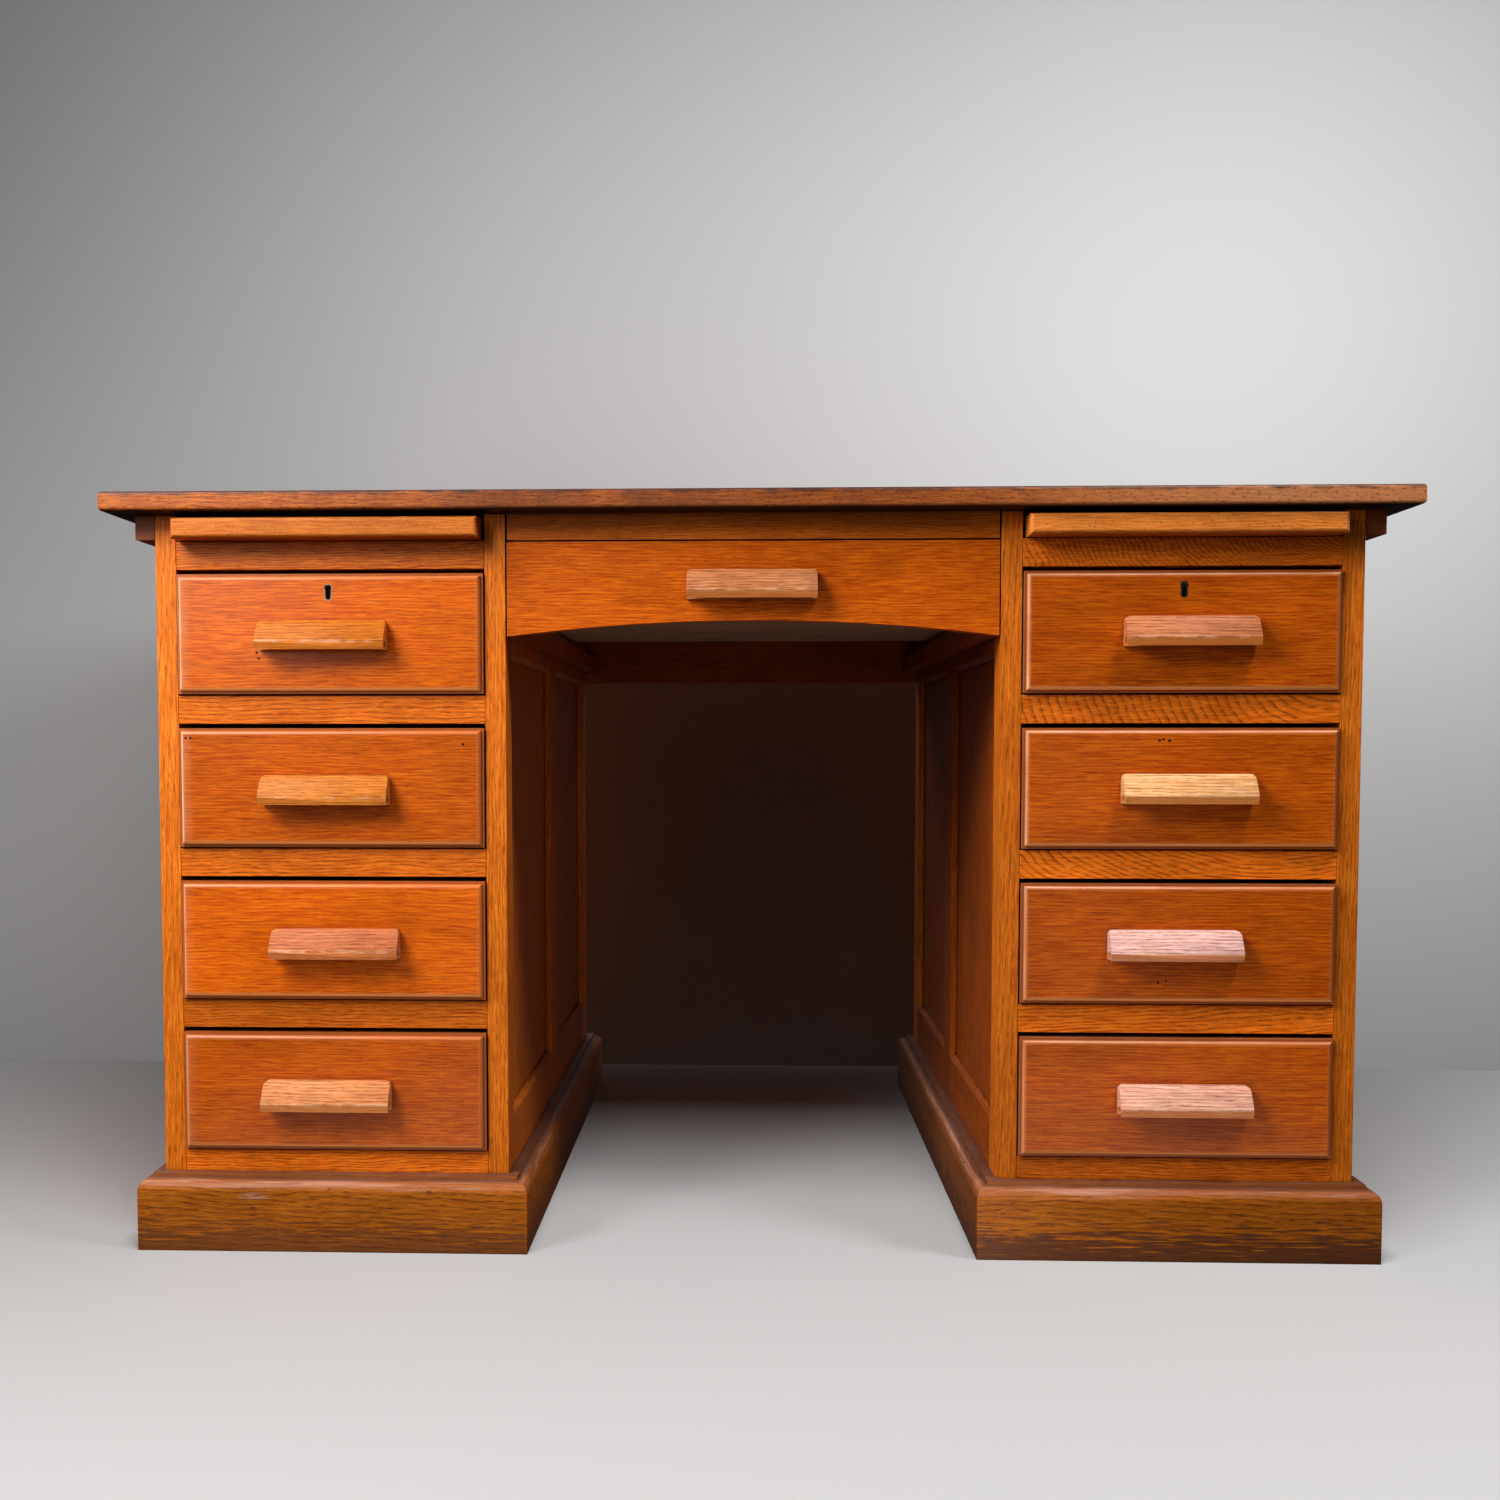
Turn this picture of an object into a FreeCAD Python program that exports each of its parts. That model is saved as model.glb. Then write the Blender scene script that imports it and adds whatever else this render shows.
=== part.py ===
import FreeCAD, Part
import math
import os

from FreeCAD import Vector

# Oak pedestal desk: two stacks of drawers under one top, a pull-out writing slide over each stack
# and an arched drawer over the open kneehole. Millimetres, +Z up, the front faces -Y, and the
# origin is on the floor under the middle of the top.

# Plan
kneehole_width = 504.0
pedestal_width = 362.0
carcass_depth = 740.0
top_side_overhang = 46.0
top_front_overhang = 30.0

# Heights, from the floor up
plinth_height = 78.0
bottom_rail_showing = 23.0
drawer_rows = 4
drawer_opening = 129.0
rail_height = 29.0
slide_slot = 27.0
top_thickness = 20.0

# Top and its locating cleats
lipping_width = 36.0
top_arris_radius = 4.0
front_lipping_joint_x = -385.0
cleat_width = 20.0
cleat_height = 25.0
cleat_play = 0.5

# Framing of a pedestal
post_width = 21.5
front_post_depth = 40.0
back_post_depth = 50.0
front_rail_depth = 38.0
side_top_rail_height = 145.0
side_bottom_rail_height = 100.0
side_bottom_rail_showing = 58.0
muntin_width = 64.0
panel_thickness = 8.0
panel_recess = 8.0
panel_tongue = 8.0
frame_chamfer = 5.0
runner_width = 30.0

# Joints of the framing
tenon_thickness = 8.0
tenon_setback = 5.0
tenon_shoulder = 4.0
tenon_inset = 12.0
tenon_end_wall = 7.5
tenon_gap_wall = 3.0

# Plinth mould
plinth_thickness = 22.0
plinth_ovolo = 12.0
plinth_quirk = 4.0

# Drawers
front_thickness = 22.0
front_proud = 7.5
front_ledge = 2.6
field_rise = 4.4
field_round = 3.9
front_gap_side = 1.2
front_gap_top = 4.6
front_gap_bottom = 1.8
drawer_back_room = 64.0
drawer_side_thickness = 11.0
drawer_side_drop = 2.9
drawer_back_drop = 10.0
drawer_bottom_thickness = 5.0
drawer_bottom_rise = 8.0
groove_depth = 5.0
running_gap = 0.3
dovetail_length = 12.0
dovetail_rows = 3
dovetail_neck_share = 0.25
dovetail_flare_share = 0.36
stop_width = 30.0
stop_depth = 12.0
stop_headroom = 2.0
stop_spread = 160.0

# Centre drawer and the rails over the kneehole
centre_front_thickness = 20.0
centre_front_height = 96.0
centre_arch_rise = 16.0
centre_gap_side = 1.5
centre_back_room = 250.0
centre_runner_width = 22.0
centre_runner_height = 20.0
centre_dovetail_length = 14.0
centre_pull_below_top = 44.0
hung_rail_thickness = 20.0
hung_rail_play = 2.0
back_apron_height = 141.0

# Writing slides
slide_thickness = 21.0
slide_side_play = 3.0
slide_proud = 24.0
slide_back_room = 152.5
slide_nosing_depth = 30.0
slide_nosing_round = 4.0
slide_gap = 0.5

# Pulls, set by hand a little off the middle of their drawers: row by row from the top
pull_width = 132.0
pull_height = 30.0
pull_depth = 20.0
pull_nose = 8.0
pull_top_land = 7.0
pull_bulge = 0.8
pull_undercut = 1.5
pull_corner_radius = 5.0
finger_hollow_width = 11.0
finger_hollow_depth = 9.0
pull_lip = 3.5
pull_shift = {"left": (-5.0, -4.0, 5.5, -5.0), "right": (6.0, 5.5, -6.0, 6.0)}
pull_drop = {"left": 2.0, "right": 0.0}

# Locks of the top drawers
lock_case_width = 60.0
lock_case_height = 36.0
lock_case_thickness = 9.0
lock_bolt_width = 24.0
lock_bolt_thickness = 5.0
lock_bolt_height = 22.0
lock_bolt_throw = 9.0
lock_gap = 0.25
keyhole_below_top = 15.2
keyhole_radius = 3.5
key_slot_width = 5.8
key_slot_drop = 11.8
escutcheon_wall = 1.0
escutcheon_depth = 4.0
bolt_mortise_gap = 1.0

# Places that follow from the sizes above
front_y = -carcass_depth / 2
back_y = carcass_depth / 2
first_opening_z = plinth_height + bottom_rail_showing
drawer_pitch = drawer_opening + rail_height
slide_floor_z = first_opening_z + drawer_rows * drawer_pitch
carcass_height = slide_floor_z + slide_slot
pedestal_x = kneehole_width / 2 + pedestal_width / 2
pedestal_half = pedestal_width / 2
opening_half = pedestal_half - post_width
carcass_half = kneehole_width / 2 + pedestal_width
drawer_face_y = front_y - front_proud
drawer_front_back_y = drawer_face_y + front_thickness
centre_front_back_y = front_y + centre_front_thickness
slide_tip_y = front_y - slide_proud
drawer_length = back_y - post_width - drawer_back_room - drawer_front_back_y
centre_drawer_length = back_y - hung_rail_thickness - centre_back_room - centre_front_back_y
slide_length = back_y - post_width - slide_back_room - slide_tip_y
PEDESTALS = {"left": -pedestal_x, "right": pedestal_x}


def box(x, y, z):
    """A block from three (low, high) pairs."""
    return Part.makeBox(x[1] - x[0], y[1] - y[0], z[1] - z[0], Vector(x[0], y[0], z[0]))


def prism(points, along):
    """A closed outline pushed along a vector."""
    return Part.Face(Part.makePolygon(points + points[:1])).extrude(along)


def wire_prism(edges, along):
    """An outline of lines and arcs pushed along a vector."""
    return Part.Face(Part.Wire(edges)).extrude(along)


def line(start, end):
    return Part.LineSegment(start, end).toShape()


def arc(start, middle, end):
    return Part.Arc(start, middle, end).toShape()


def cut_all(shape, tools):
    """Take every tool out of a shape."""
    for tool in tools:
        shape = shape.cut(tool)
    return shape


def opening_floor(row):
    """Height of the floor of a drawer opening; row 1 is the top drawer."""
    return first_opening_z + (drawer_rows - row) * drawer_pitch


def save(name, pieces, x=0.0):
    """Write the solids of one node, moved sideways to their place."""
    solids = []
    for piece in pieces:
        solids += piece.removeSplitter().Solids
    group = Part.makeCompound(solids) if len(solids) > 1 else solids[0]
    group.translate(Vector(x, 0, 0))
    group.exportStep("parts/" + name + ".step")


def edges_on(shape, test):
    """Edges whose middle point passes a test."""
    return [edge for edge in shape.Edges if test(edge.CenterOfMass)]


# Boards that run round a rectangle and meet in mitres
def mitred_ring(profile_solid, half_width, half_depth, thickness, bottom, top):
    """Four boards, front first; profile_solid(length, offset) gives one board facing -Y."""
    boards = []
    for quarter in range(4):
        offset, half = (half_depth, half_width) if quarter % 2 == 0 else (half_width, half_depth)
        length = 2 * (half + thickness)
        mitre = prism(
            [
                Vector(-half, -offset, bottom),
                Vector(-half - thickness, -offset - thickness, bottom),
                Vector(half + thickness, -offset - thickness, bottom),
                Vector(half, -offset, bottom),
            ],
            Vector(0, 0, top - bottom),
        )
        board = profile_solid(length, offset).common(mitre)
        board.rotate(Vector(0, 0, 0), Vector(0, 0, 1), 90 * quarter)
        boards.append(board)
    return boards


# Desk top: a core board inside a mitred lipping, and a cleat outside each pedestal
def top_pieces():
    half_width = carcass_half + top_side_overhang
    half_depth = carcass_depth / 2 + top_front_overhang
    height = (carcass_height, carcass_height + top_thickness)
    slab = box((-half_width, half_width), (-half_depth, half_depth), height)
    level_edges = [edge for edge in slab.Edges if edge.BoundBox.ZLength < 1e-6]
    slab = slab.makeFillet(top_arris_radius, level_edges)
    core_width = half_width - lipping_width
    core_depth = half_depth - lipping_width
    core = box((-core_width, core_width), (-core_depth, core_depth), height)
    strips = mitred_ring(
        lambda length, offset: box((-length / 2, length / 2), (-offset - lipping_width, -offset), height),
        core_width,
        core_depth,
        lipping_width,
        *height,
    )
    strips = [strip.common(slab) for strip in strips]
    left_end = box((-half_width, front_lipping_joint_x), (-half_depth, half_depth), height)
    front_strip = strips.pop(0)
    strips += [front_strip.common(left_end), front_strip.cut(left_end)]
    return core, strips


def top_cleats():
    """Battens under the overhang that keep the top from sliding off the pedestals."""
    near = carcass_half + cleat_play
    height = (carcass_height - cleat_height, carcass_height)
    return [
        box(x, (front_y, back_y), height)
        for x in ((near, near + cleat_width), (-near - cleat_width, -near))
    ]


# Framing of one pedestal, about its own middle plane
side_bays_y = (
    (front_y + front_post_depth, -muntin_width / 2),
    (muntin_width / 2, back_y - back_post_depth),
)
side_bay_z = (plinth_height + side_bottom_rail_showing, carcass_height - side_top_rail_height)
panel_band = (pedestal_half - panel_recess - panel_thickness, pedestal_half - panel_recess)
back_band = (back_y - panel_recess - panel_thickness, back_y - panel_recess)


def widened(span, amount):
    """A (low, high) pair moved apart by an amount at each end."""
    return span[0] - amount, span[1] + amount


def mirrored(shape):
    """The same piece on the other side of the pedestal."""
    return shape.mirror(Vector(0, 0, 0), Vector(1, 0, 0))


def rectangle(corner_points):
    return Part.makePolygon(corner_points + corner_points[:1])


def side_bay_chamfer(bay_y):
    """The bevelled space that a chamfer round one side panel takes from the frame."""
    loops = []
    for depth in (0.0, frame_chamfer):
        y = widened(bay_y, frame_chamfer - depth)
        z = widened(side_bay_z, frame_chamfer - depth)
        x = pedestal_half - depth
        corners = [Vector(x, y[i], z[j]) for i, j in ((0, 0), (1, 0), (1, 1), (0, 1))]
        loops.append(rectangle(corners))
    return Part.makeLoft(loops, True, True)


def back_bay_chamfer():
    """The same bevelled space round the back panel."""
    loops = []
    for depth in (0.0, frame_chamfer):
        x = widened((-opening_half, opening_half), frame_chamfer - depth)
        z = widened(side_bay_z, frame_chamfer - depth)
        y = back_y - depth
        corners = [Vector(x[i], y, z[j]) for i, j in ((0, 0), (1, 0), (1, 1), (0, 1))]
        loops.append(rectangle(corners))
    return Part.makeLoft(loops, True, True)


def side_panels():
    tongue_z = widened(side_bay_z, panel_tongue)
    return [box(panel_band, widened(bay, panel_tongue), tongue_z) for bay in side_bays_y]


def back_panel():
    return box(
        widened((-opening_half, opening_half), panel_tongue),
        back_band,
        widened(side_bay_z, panel_tongue),
    )


def side_rails():
    """Bottom and top rail of one side, tenoned into the posts."""
    between_posts = (front_y + front_post_depth, back_y - back_post_depth)
    front_tenon = front_post_depth - tenon_setback - tenon_thickness - tenon_gap_wall
    back_tenon = back_post_depth - panel_recess - panel_thickness - tenon_gap_wall
    tenon_y = (between_posts[0] - front_tenon, between_posts[1] + back_tenon)
    thickness = (opening_half, pedestal_half)
    rails = []
    for z in (
        (side_bay_z[0] - side_bottom_rail_height, side_bay_z[0]),
        (side_bay_z[1], carcass_height),
    ):
        rail = box(thickness, between_posts, z)
        rails.append(rail.fuse(box(panel_band, tenon_y, widened(z, -tenon_inset))))
    return rails


def muntin():
    """Upright between the two panels of a side, with stub tenons in the rails."""
    half = muntin_width / 2
    upright = box((opening_half, pedestal_half), (-half, half), side_bay_z)
    stub = box(panel_band, widened((-half, half), -tenon_inset), widened(side_bay_z, panel_tongue))
    return upright.fuse(stub)


def posts_of_one_side():
    width = (opening_half, pedestal_half)
    height = (0.0, carcass_height)
    return [
        box(width, (front_y, front_y + front_post_depth), height),
        box(width, (back_y - back_post_depth, back_y), height),
    ]


def front_rails():
    """Rails between the drawers, bottom rail first, tenoned into the front posts."""
    tenon_length = post_width - tenon_end_wall
    tenon_y = (front_y + tenon_setback, front_y + tenon_setback + tenon_thickness)
    rails = []
    for level in range(drawer_rows + 1):
        top = first_opening_z + level * drawer_pitch
        z = (top - rail_height, top)
        rail = box((-opening_half, opening_half), (front_y, front_y + front_rail_depth), z)
        tenon_x = widened((-opening_half, opening_half), tenon_length)
        rails.append(rail.fuse(box(tenon_x, tenon_y, widened(z, -tenon_shoulder))))
    return rails


def back_rails():
    tenon_x = widened((-opening_half, opening_half), post_width - tenon_end_wall)
    thickness = (back_y - post_width, back_y)
    rails = []
    for z in (
        (side_bay_z[0] - side_bottom_rail_height, side_bay_z[0]),
        (side_bay_z[1], carcass_height),
    ):
        rail = box((-opening_half, opening_half), thickness, z)
        rails.append(rail.fuse(box(tenon_x, back_band, widened(z, -tenon_inset))))
    return rails


def runners():
    """Drawer runners behind every front rail, and the strips that hold each slide level."""
    length = (front_y + front_rail_depth, back_y - post_width)
    width = (opening_half - runner_width, opening_half)
    strips = []
    for level in range(drawer_rows + 1):
        top = first_opening_z + level * drawer_pitch
        strips.append(box(width, length, (top - rail_height, top)))
    slide_top = slide_floor_z + slide_thickness + 2 * slide_gap
    strips.append(box(width, length, (slide_top, carcass_height)))
    return strips + [mirrored(strip) for strip in strips]


def drawer_stops():
    """Two blocks on the rail under each drawer, which the drawer front closes against."""
    face = drawer_front_back_y + running_gap
    y = (face, face + stop_depth)
    height = drawer_bottom_rise - stop_headroom
    blocks = []
    for row in range(1, drawer_rows + 1):
        floor = opening_floor(row)
        for middle in (-stop_spread / 2, stop_spread / 2):
            x = widened((middle, middle), stop_width / 2)
            blocks.append(box(x, y, (floor, floor + height)))
    return blocks


def plinth_board(length, offset):
    """Moulded board facing -Y: flat face, quarter-round ovolo, quirk and ledge."""
    face = -offset - plinth_thickness
    ovolo_top = plinth_height - plinth_quirk
    ovolo_foot = ovolo_top - plinth_ovolo
    centre = Vector(0, face + plinth_ovolo, ovolo_foot)
    slope = plinth_ovolo * math.sqrt(0.5)
    corners = [
        Vector(0, face, ovolo_foot),
        Vector(0, face + plinth_ovolo, ovolo_top),
        Vector(0, face + plinth_ovolo, plinth_height),
        Vector(0, -offset, plinth_height),
        Vector(0, -offset, 0),
        Vector(0, face, 0),
    ]
    edges = [arc(corners[0], centre + Vector(0, -slope, slope), corners[1])]
    edges += [line(a, b) for a, b in zip(corners[1:], corners[2:] + corners[:1])]
    board = wire_prism(edges, Vector(length, 0, 0))
    board.translate(Vector(-length / 2, 0, 0))
    return board


def pedestal_pieces():
    """Every fixed piece of a pedestal, with its grooves, mortises and chamfers cut."""
    panels = side_panels()
    bevels = [side_bay_chamfer(bay) for bay in side_bays_y]
    rails = side_rails()
    upright = muntin()
    posts = posts_of_one_side()
    fronts = front_rails()
    backs = back_rails()
    back = back_panel()
    back_joint = [back, back_bay_chamfer()]
    post_joints = rails + panels + bevels + fronts + backs + back_joint
    posts = [cut_all(post, post_joints) for post in posts]
    rails = [cut_all(rail, panels + bevels + [upright]) for rail in rails]
    frame = rails + [cut_all(upright, panels + bevels)]
    backs = [cut_all(rail, back_joint) for rail in backs]
    fronts[-1] = fronts[-1].cut(bolt_mortise())
    return {
        "posts": posts + [mirrored(post) for post in posts],
        "front_rails": fronts,
        "side_frames": frame + [mirrored(piece) for piece in frame],
        "back_rails": backs,
        "panels": panels + [mirrored(panel) for panel in panels] + [back],
        "runners": runners(),
        "drawer_stops": drawer_stops(),
        "plinth": mitred_ring(
            plinth_board, pedestal_half, carcass_depth / 2, plinth_thickness, 0, plinth_height
        ),
    }


# Drawers
def dovetail_edge(root_y, tip_y, low, high):
    """Points up a board's end with flared tails between low and high."""
    pitch = (high - low) / dovetail_rows
    points = []
    for row in range(dovetail_rows):
        middle = low + (row + 0.5) * pitch
        neck = pitch * dovetail_neck_share
        flare = pitch * dovetail_flare_share
        points += [
            (root_y, middle - neck),
            (tip_y, middle - flare),
            (tip_y, middle + flare),
            (root_y, middle + neck),
        ]
    return points


def drawer_box(half_width, side_z, tail_z, back_face_y, length, tail_length):
    """Sides, back and bottom; the sides' front tails enter the front's back face."""
    end_y = back_face_y + length
    back_root = end_y - drawer_side_thickness
    bottom_z = (side_z[0] + drawer_bottom_rise, side_z[0] + drawer_bottom_rise + drawer_bottom_thickness)
    back_z = (bottom_z[1], side_z[1] - drawer_back_drop)
    outline = [(back_face_y, side_z[0])]
    outline += dovetail_edge(back_face_y, back_face_y - tail_length, *tail_z)
    outline += [(back_face_y, side_z[1]), (end_y, side_z[1]), (end_y, back_z[1]), (back_root, back_z[1])]
    outline += reversed(dovetail_edge(back_root, end_y, *back_z))
    outline += [(back_root, back_z[0]), (end_y, back_z[0]), (end_y, side_z[0])]
    inner = half_width - drawer_side_thickness
    side = prism([Vector(inner, y, z) for y, z in outline], Vector(drawer_side_thickness, 0, 0))
    bottom = box(
        widened((-inner, inner), groove_depth), (back_face_y - groove_depth, end_y), bottom_z
    )
    sides = [side, mirrored(side)]
    back = cut_all(box((-half_width, half_width), (back_root, end_y), back_z), sides)
    sides = [board.cut(bottom) for board in sides]
    return sides, back, bottom


def pedestal_drawer(row):
    """Moulded front and dovetailed box of one pedestal drawer."""
    floor = opening_floor(row)
    half = opening_half - front_gap_side
    front_z = (floor + front_gap_bottom, floor + drawer_opening - front_gap_top)
    ledge_y = drawer_face_y + field_rise
    slab = box((-half, half), (ledge_y, drawer_front_back_y), front_z)
    field = box(
        widened((-half, half), -front_ledge), (drawer_face_y, ledge_y), widened(front_z, -front_ledge)
    )
    field = field.makeFillet(field_round, edges_on(field, lambda c: abs(c.y - drawer_face_y) < 1e-6))
    front = slab.fuse(field)
    side_z = (floor + running_gap, front_z[1] - drawer_side_drop)
    tail_z = (front_z[0], side_z[1])
    sides, back, bottom = drawer_box(
        half, side_z, tail_z, drawer_front_back_y, drawer_length, dovetail_length
    )
    front = cut_all(front, sides + [bottom])
    return front, sides + [back, bottom]


def centre_drawer():
    """Flat front with an arched lower edge, and its dovetailed box."""
    half = kneehole_width / 2 - centre_gap_side
    top = slide_floor_z - front_gap_bottom
    foot = top - centre_front_height
    corners = [Vector(-half, front_y, foot), Vector(-half, front_y, top)]
    corners += [Vector(half, front_y, top), Vector(half, front_y, foot)]
    edges = [line(a, b) for a, b in zip(corners, corners[1:])]
    edges.append(arc(corners[3], Vector(0, front_y, foot + centre_arch_rise), corners[0]))
    front = wire_prism(edges, Vector(0, centre_front_thickness, 0))
    side_z = (foot + centre_runner_height + running_gap, top - drawer_side_drop)
    sides, back, bottom = drawer_box(
        half, side_z, side_z, centre_front_back_y, centre_drawer_length, centre_dovetail_length
    )
    front = cut_all(front, sides + [bottom])
    return front, sides + [back, bottom]


def pull(x, face_y, middle_z):
    """Wooden finger pull: bulging slope, undercut nose and a hollow for the fingertips below."""
    low = middle_z - pull_height / 2
    high = middle_z + pull_height / 2
    nose_y = face_y - pull_depth
    hollow = (nose_y + pull_lip, nose_y + pull_lip + finger_hollow_width)
    slope_top = Vector(0, face_y - pull_top_land, high)
    slope_foot = Vector(0, nose_y, low + pull_nose)
    slope = slope_top - slope_foot
    outward = Vector(0, -slope.z, slope.y).normalize()
    bulge = (slope_top + slope_foot) * 0.5 + outward * pull_bulge
    nose_foot = Vector(0, nose_y + pull_undercut, low)
    hollow_top = Vector(0, (hollow[0] + hollow[1]) / 2, low + finger_hollow_depth)
    edges = [
        line(Vector(0, face_y, low), Vector(0, face_y, high)),
        line(Vector(0, face_y, high), slope_top),
        arc(slope_top, bulge, slope_foot),
        line(slope_foot, nose_foot),
        line(nose_foot, Vector(0, hollow[0], low)),
        arc(Vector(0, hollow[0], low), hollow_top, Vector(0, hollow[1], low)),
        line(Vector(0, hollow[1], low), Vector(0, face_y, low)),
    ]
    block = wire_prism(edges, Vector(pull_width, 0, 0))
    block.translate(Vector(x - pull_width / 2, 0, 0))
    outline = box((x - pull_width / 2, x + pull_width / 2), (nose_y, face_y), (low, high))
    shoulders = edges_on(outline, lambda c: c.z > high - 1 and abs(c.x - x) > pull_width / 2 - 1)
    return block.common(outline.makeFillet(pull_corner_radius, shoulders))


# Locks of the top drawers
lock_top_z = opening_floor(1) + drawer_opening - front_gap_top
lock_case_y = (drawer_front_back_y - lock_case_thickness, drawer_front_back_y)
lock_bolt_y = widened((sum(lock_case_y) / 2, sum(lock_case_y) / 2), lock_bolt_thickness / 2)
lock_bolt_x = (-lock_bolt_width / 2, lock_bolt_width / 2)
keyhole_z = lock_top_z - keyhole_below_top


def keyhole(grow, y):
    """A round key hole with a round-ended slot below, enlarged all round by an amount."""
    foot_z = keyhole_z - key_slot_drop + key_slot_width / 2
    slot = box(widened((0, 0), key_slot_width / 2 + grow), y, (foot_z, keyhole_z))
    for radius, z in ((keyhole_radius, keyhole_z), (key_slot_width / 2, foot_z)):
        slot = slot.fuse(Part.makeCylinder(radius + grow, y[1] - y[0], Vector(0, y[0], z), Vector(0, 1, 0)))
    return slot


def bolt_mortise():
    """Slot in the rail over the top drawer, which the raised bolt enters."""
    rail_foot = slide_floor_z - rail_height
    reach = lock_top_z + lock_bolt_throw + bolt_mortise_gap
    return box(
        widened(lock_bolt_x, bolt_mortise_gap), widened(lock_bolt_y, bolt_mortise_gap), (rail_foot, reach)
    )


def lock_pieces():
    """Case let into the back of the front, its bolt, and the thread round the key hole."""
    case = box(
        widened((0, 0), lock_case_width / 2), lock_case_y, (lock_top_z - lock_case_height, lock_top_z)
    )
    bolt_z = (lock_top_z - lock_gap - lock_bolt_height, lock_top_z - lock_gap)
    channel = box(
        widened(lock_bolt_x, lock_gap), widened(lock_bolt_y, lock_gap), (bolt_z[0] - lock_gap, lock_top_z)
    )
    key_well = keyhole(0, (lock_case_y[0], lock_bolt_y[0] - lock_gap))
    bolt = box(lock_bolt_x, lock_bolt_y, bolt_z)
    thread_y = (drawer_face_y, drawer_face_y + escutcheon_depth)
    thread = keyhole(escutcheon_wall, thread_y).cut(keyhole(0, thread_y))
    return case, case.cut(channel).cut(key_well), bolt, thread


def key_cuts(case):
    """What a lock takes out of its drawer front."""
    return [
        case,
        keyhole(escutcheon_wall, (drawer_face_y, drawer_face_y + escutcheon_depth)),
        keyhole(0, (drawer_face_y, lock_case_y[0])),
    ]


# Writing slides
def slide_pieces():
    """Board and rounded front nosing of a writing slide."""
    half = opening_half - slide_side_play
    z = (slide_floor_z + slide_gap, slide_floor_z + slide_gap + slide_thickness)
    joint_y = slide_tip_y + slide_nosing_depth
    board = box((-half, half), (joint_y, slide_tip_y + slide_length), z)
    nosing = box((-half, half), (slide_tip_y, joint_y), z)
    front_edges = edges_on(nosing, lambda c: abs(c.y - slide_tip_y) < 1e-6)
    return board, nosing.makeFillet(slide_nosing_round, front_edges)


# Rails and runners over the kneehole
def centre_rail():
    """Rail hung from the top over the centre drawer."""
    half = kneehole_width / 2 - hung_rail_play
    return box((-half, half), (front_y, front_y + hung_rail_thickness), (slide_floor_z, carcass_height))


def back_apron():
    """Plain rail hung from the top across the back of the kneehole."""
    half = kneehole_width / 2 - hung_rail_play
    return box(
        (-half, half),
        (back_y - hung_rail_thickness, back_y),
        (carcass_height - back_apron_height, carcass_height),
    )


def centre_runners():
    """Runners on the pedestals' inner sides that carry the centre drawer and stop its front."""
    foot = slide_floor_z - front_gap_bottom - centre_front_height
    outer = kneehole_width / 2
    strip = box(
        (outer - centre_runner_width, outer),
        (centre_front_back_y + running_gap, back_y - hung_rail_thickness),
        (foot, foot + centre_runner_height),
    )
    return [strip, mirrored(strip)]


def main():
    os.makedirs("parts", exist_ok=True)
    core, strips = top_pieces()
    save("top_panel", [core])
    save("top_lipping", strips)
    save("top_cleats", top_cleats())
    save("centre_rail", [centre_rail()])
    save("centre_runners", centre_runners())
    save("back_apron", [back_apron()])

    pedestal = pedestal_pieces()
    slide_board, slide_nosing = slide_pieces()
    lock_blank, lock_case, lock_bolt, key_thread = lock_pieces()
    for side, x in PEDESTALS.items():
        for name, pieces in pedestal.items():
            save(side + "_" + name, [piece.copy() for piece in pieces], x)
        save(side + "_slide_board", [slide_board.copy()], x)
        save(side + "_slide_nosing", [slide_nosing.copy()], x)
        save(side + "_lock_case", [lock_case.copy()], x)
        save(side + "_lock_bolt", [lock_bolt.copy()], x)
        save(side + "_escutcheon", [key_thread.copy()], x)
        for row in range(1, drawer_rows + 1):
            front, boards = pedestal_drawer(row)
            if row == 1:
                front = cut_all(front, key_cuts(lock_blank))
            middle = opening_floor(row) + (drawer_opening + front_gap_bottom - front_gap_top) / 2
            name = side + "_drawer_" + str(row)
            save(name + "_front", [front], x)
            save(name + "_box", boards, x)
            shift = pull_shift[side][row - 1]
            save(name + "_pull", [pull(shift, drawer_face_y, middle - pull_drop[side])], x)

    front, boards = centre_drawer()
    pull_z = slide_floor_z - front_gap_bottom - centre_pull_below_top
    save("centre_drawer_front", [front])
    save("centre_drawer_box", boards)
    save("centre_drawer_pull", [pull(0.0, front_y, pull_z)])


main()
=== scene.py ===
# %% [markdown]
# # An old oak pedestal desk
# The desk was joined by hand from solid oak, stained orange-brown and varnished, and its edges have worn.
# The solids come from the imported CAD frame, with every board and drawer as a separate piece. This lesson
# adds what the solids lack: the grain, stain and wear of each board with some painted highlights and shade,
# softened arrises and small fasteners.

# %% Load the desk
import math

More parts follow.
